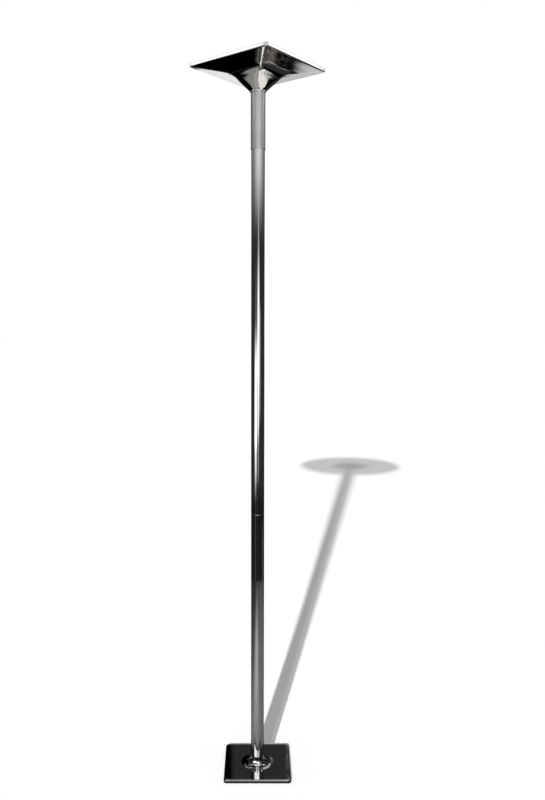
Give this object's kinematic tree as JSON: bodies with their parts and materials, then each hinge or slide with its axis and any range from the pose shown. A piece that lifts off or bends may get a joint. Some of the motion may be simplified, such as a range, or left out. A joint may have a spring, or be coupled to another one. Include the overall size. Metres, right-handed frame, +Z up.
{
  "type": "dance pole",
  "caption": "Floor-to-ceiling pole with a square trumpet base, a two-part tube and a sliding sleeve under a concave pyramid plate that a screw jack raises.",
  "frame": {"origin": "on the floor, on the pole's axis", "axes": "+Z up along the pole; -Y is the front, square to the base; the ceiling plate is turned 38.5 degrees clockwise seen from above"},
  "size_m": [0.4388, 0.4388, 2.387],
  "materials": {
    "chrome": "mirror polished chrome plate",
    "satin_steel": "satin, brushed along the tube",
    "steel": "turned and zinc plated",
    "bearing_steel": "ground",
    "bronze": "turned bronze",
    "brass": "stamped brass",
    "black_steel": "black oxide",
    "rubber": "matt, finely pebbled"
  },
  "bodies": {
    "base": {"base_pad": "rubber", "base_plate": "steel", "base_cover": "chrome", "base_hub": "steel", "hub_screw_1": "black_steel", "hub_screw_2": "black_steel", "hub_screw_3": "black_steel", "hub_screw_4": "black_steel", "base_cover_screw_1": "black_steel", "base_cover_screw_2": "black_steel", "base_cover_screw_3": "black_steel", "base_cover_screw_4": "black_steel", "keeper_washer": "steel", "keeper_screw": "black_steel", "bearing_lower_race": "bearing_steel"},
    "ball_cage": {"bearing_cage": "brass", "bearing_ball_1": "bearing_steel", "bearing_ball_2": "bearing_steel", "bearing_ball_3": "bearing_steel", "bearing_ball_4": "bearing_steel", "bearing_ball_5": "bearing_steel", "bearing_ball_6": "bearing_steel", "bearing_ball_7": "bearing_steel", "bearing_ball_8": "bearing_steel"},
    "pole": {"bearing_upper_race": "bearing_steel", "pole_foot": "steel", "lower_tube": "chrome", "pole_coupler": "steel", "coupler_screw_1": "black_steel", "coupler_screw_2": "black_steel", "coupler_screw_3": "black_steel", "coupler_screw_4": "black_steel", "upper_tube": "chrome", "jack_nut": "bronze", "jack_nut_screw_1": "black_steel", "jack_nut_screw_2": "black_steel"},
    "head": {"ceiling_pad": "rubber", "ceiling_plate": "steel", "ceiling_cover": "chrome", "ceiling_hub": "steel", "ceiling_hub_screw_1": "black_steel", "ceiling_hub_screw_2": "black_steel", "ceiling_hub_screw_3": "black_steel", "ceiling_hub_screw_4": "black_steel", "ceiling_cover_screw_1": "black_steel", "ceiling_cover_screw_2": "black_steel", "ceiling_cover_screw_3": "black_steel", "ceiling_cover_screw_4": "black_steel", "ceiling_sleeve": "satin_steel", "sleeve_screw_1": "black_steel", "sleeve_screw_2": "black_steel", "sleeve_screw_3": "black_steel", "jack_spindle": "steel", "spindle_pin": "bearing_steel", "spindle_lock_nut": "steel", "spindle_stop": "steel", "stop_pin": "bearing_steel"}
  },
  "joints": [
    {"name": "pole_turn", "type": "hinge", "parent": "base", "child": "pole", "pos_m": [0, 0, 0.0183], "axis": [0, 0, 1], "range_deg": [-5400, 3600]},
    {"name": "cage_turn", "type": "hinge", "parent": "base", "child": "ball_cage", "pos_m": [0, 0, 0.0183], "axis": [0, 0, 1], "range_deg": [-2700, 1800]},
    {"name": "head_slide", "type": "slide", "parent": "base", "child": "head", "axis": [0, 0, 1], "range_m": [-0.04, 0.06]}
  ],
  "couplings": [
    {"joint": "cage_turn", "follows": "pole_turn", "ratio": 0.5},
    {"joint": "head_slide", "follows": "pole_turn", "m_per_rad": -0.00063662}
  ]
}
